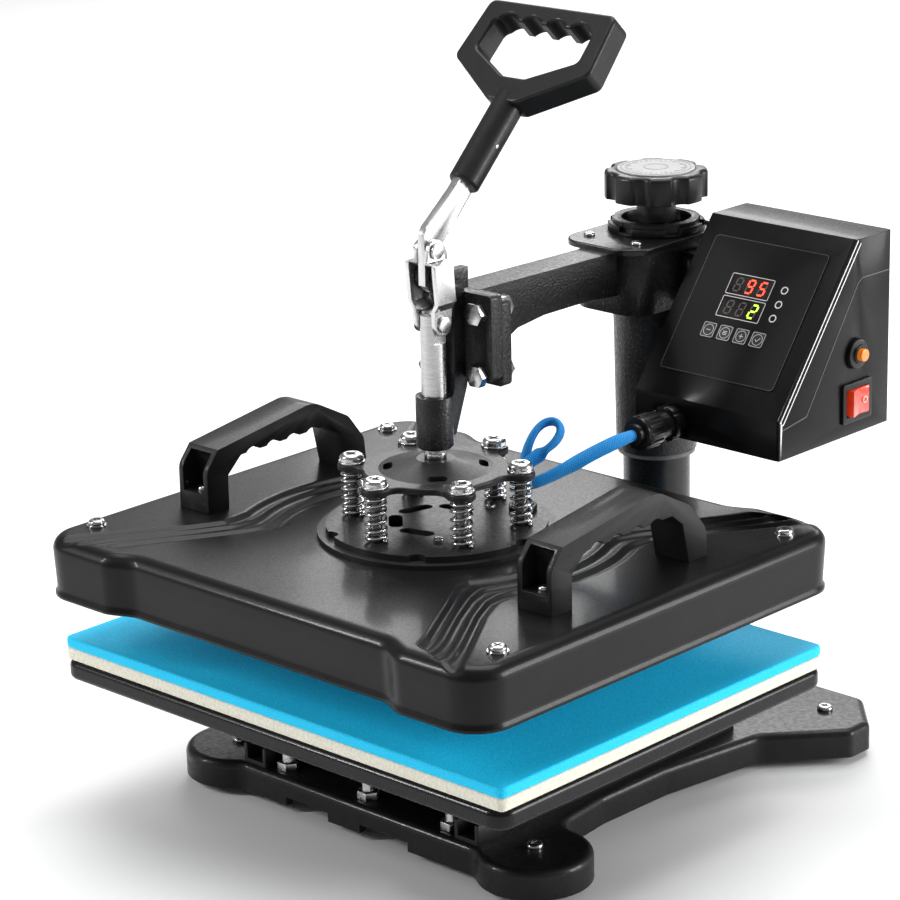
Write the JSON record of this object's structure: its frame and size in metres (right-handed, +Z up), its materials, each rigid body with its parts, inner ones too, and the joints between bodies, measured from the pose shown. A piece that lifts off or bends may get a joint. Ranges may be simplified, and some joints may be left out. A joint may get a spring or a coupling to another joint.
{
  "type": "heat press",
  "caption": "Swing-away benchtop heat press: toggle lever with D grip, sprung heated platen over a padded lower platen, column with pressure knob, and control box.",
  "frame": {"origin": "on the table, under the middle of the footprint", "axes": "+Z up, +X to the operator's right, -Y towards the operator"},
  "size_m": [0.382, 0.436, 0.4982],
  "materials": {
    "base_paint": "black hammered powder coat",
    "cover_paint": "black satin leather-grain powder coat",
    "arm_paint": "black sparkle hammertone",
    "column_paint": "black satin powder coat",
    "tray_paint": "black satin powder coat",
    "box_paint": "black semi-gloss powder coat",
    "bolt_chrome": "bright zinc and chrome plating",
    "link_chrome": "bright plated castings",
    "rod_steel": "ground and plated",
    "spring_steel": "plated spring wire",
    "black_steel": "black pressed steel",
    "pad_silicone": "bright blue silicone, fine fleck",
    "pad_foam": "cream silicone foam",
    "foot_rubber": "matt black",
    "bush_plastic": "acetal",
    "collar_brass": "turned",
    "grip_plastic": "black moulded, satin",
    "knob_plastic": "black moulded",
    "cap_disc": "pale grey printed disc",
    "overlay": "black polyester overlay",
    "display": "dark window with lit digits",
    "keys": "black dome keys with white outlines",
    "circuit_board": "green board and parts",
    "socket_plastic": "black moulded",
    "switch_red": "translucent red",
    "breaker_amber": "orange button",
    "connector_plastic": "black ribbed",
    "lead_sleeve": "bright blue braided sleeve",
    "platen_alloy": "cast and coated",
    "element_steel": "oxidised",
    "insulation_fibre": "white ceramic fibre",
    "thermostat_body": "ceramic"
  },
  "bodies": {
    "base": {"base_frame": "base_paint", "rubber_feet": "foot_rubber", "base_fasteners": "bolt_chrome", "base_rails": "black_steel", "cross_channels": "black_steel", "levelling_studs": "rod_steel", "lower_tray": "tray_paint", "foam_layer": "pad_foam", "silicone_pad": "pad_silicone", "column_tube": "column_paint", "column_nut": "rod_steel"},
    "lift": {"column_bushes": "bush_plastic", "thrust_collar": "collar_brass"},
    "knob": {"pressure_screw": "rod_steel", "pressure_knob": "knob_plastic", "knob_cap": "cap_disc"},
    "arm": {"arm_casting": "arm_paint", "arm_top_plate": "column_paint", "lock_ring": "knob_plastic", "toggle_bracket": "arm_paint", "fork_pin": "link_chrome", "arm_fasteners": "bolt_chrome", "control_case": "box_paint", "side_cover": "box_paint", "front_panel": "overlay", "display_windows": "display", "control_electronics": "circuit_board", "power_inlet": "socket_plastic", "rocker_housing": "socket_plastic", "breaker_body": "socket_plastic", "box_bracket": "black_steel", "heater_connector": "connector_plastic", "heater_lead": "lead_sleeve"},
    "lever": {"lever_bar": "link_chrome", "lever_pins": "link_chrome", "lever_grip": "grip_plastic"},
    "yoke": {"yoke_cheeks": "link_chrome", "yoke_stub_pins": "link_chrome"},
    "plunger": {"plunger_rod": "rod_steel", "plunger_nuts": "bolt_chrome", "star_plate": "black_steel"},
    "head": {"head_cover": "cover_paint", "lower_disc": "black_steel", "upper_disc": "black_steel", "spring_bolts": "bolt_chrome", "coil_springs": "spring_steel", "head_mounts": "rod_steel", "head_screws": "bolt_chrome", "heated_platen": "platen_alloy", "heating_element": "element_steel", "insulation": "insulation_fibre", "thermostat": "thermostat_body", "cable_gland": "connector_plastic", "side_grips": "grip_plastic"},
    "key_minus": {"key_minus": "keys"},
    "key_mode": {"key_mode": "keys"},
    "key_plus": {"key_plus": "keys"},
    "key_set": {"key_set": "keys"},
    "rocker": {"rocker": "switch_red"},
    "breaker_button": {"breaker_button": "breaker_amber"}
  },
  "joints": [
    {"name": "pressure_height", "type": "slide", "parent": "base", "child": "lift", "axis": [0, 0, 1], "range_m": [0, 0.012]},
    {"name": "knob_turn", "type": "hinge", "parent": "lift", "child": "knob", "pos_m": [0, 0.165, 0.36], "axis": [0, 0, 1], "range_deg": [0, 1080]},
    {"name": "arm_swing", "type": "hinge", "parent": "lift", "child": "arm", "pos_m": [0, 0.165, 0.3], "axis": [0, 0, 1], "range_deg": [-180, 180]},
    {"name": "lever_turn", "type": "hinge", "parent": "arm", "child": "lever", "pos_m": [0, -0.0465, 0.3471], "axis": [1, 0, 0], "range_deg": [0, 162.75]},
    {"name": "yoke_turn", "type": "hinge", "parent": "lever", "child": "yoke", "pos_m": [0, -0.052, 0.366], "axis": [1, 0, 0], "range_deg": [-169.3, 0]},
    {"name": "plunger_slide", "type": "slide", "parent": "arm", "child": "plunger", "axis": [0, 0, 1], "range_m": [-0.0386, 0]},
    {"name": "spring_travel", "type": "slide", "parent": "plunger", "child": "head", "axis": [0, 0, 1], "range_m": [0, 0.0064], "deforming": ["coil_springs"]},
    {"name": "rocker_tip", "type": "hinge", "parent": "arm", "child": "rocker", "pos_m": [0.1617, 0.165, 0.2503], "axis": [0, 0, 1], "range_deg": [-14, 0]},
    {"name": "breaker_push", "type": "slide", "parent": "arm", "child": "breaker_button", "axis": [1, 0, 0], "range_m": [-0.0012, 0], "stiffness_N_per_m": 900},
    {"name": "press_minus", "type": "slide", "parent": "arm", "child": "key_minus", "axis": [0, 0.7924, -0.6101], "range_m": [0, 0.0004], "stiffness_N_per_m": 2000},
    {"name": "press_mode", "type": "slide", "parent": "arm", "child": "key_mode", "axis": [0, 0.7924, -0.6101], "range_m": [0, 0.0004], "stiffness_N_per_m": 2000},
    {"name": "press_plus", "type": "slide", "parent": "arm", "child": "key_plus", "axis": [0, 0.7924, -0.6101], "range_m": [0, 0.0004], "stiffness_N_per_m": 2000},
    {"name": "press_set", "type": "slide", "parent": "arm", "child": "key_set", "axis": [0, 0.7924, -0.6101], "range_m": [0, 0.0004], "stiffness_N_per_m": 2000}
  ],
  "couplings": [
    {"joint": "knob_turn", "follows": "pressure_height", "rad_per_m": 1570.8},
    {"joint": "yoke_turn", "follows": "lever_turn", "ratio": -1.0389},
    {"joint": "plunger_slide", "follows": "lever_turn", "m_per_rad": -0.01356},
    {"joint": "spring_travel", "follows": "lever_turn", "m_per_rad": 0.002224}
  ]
}
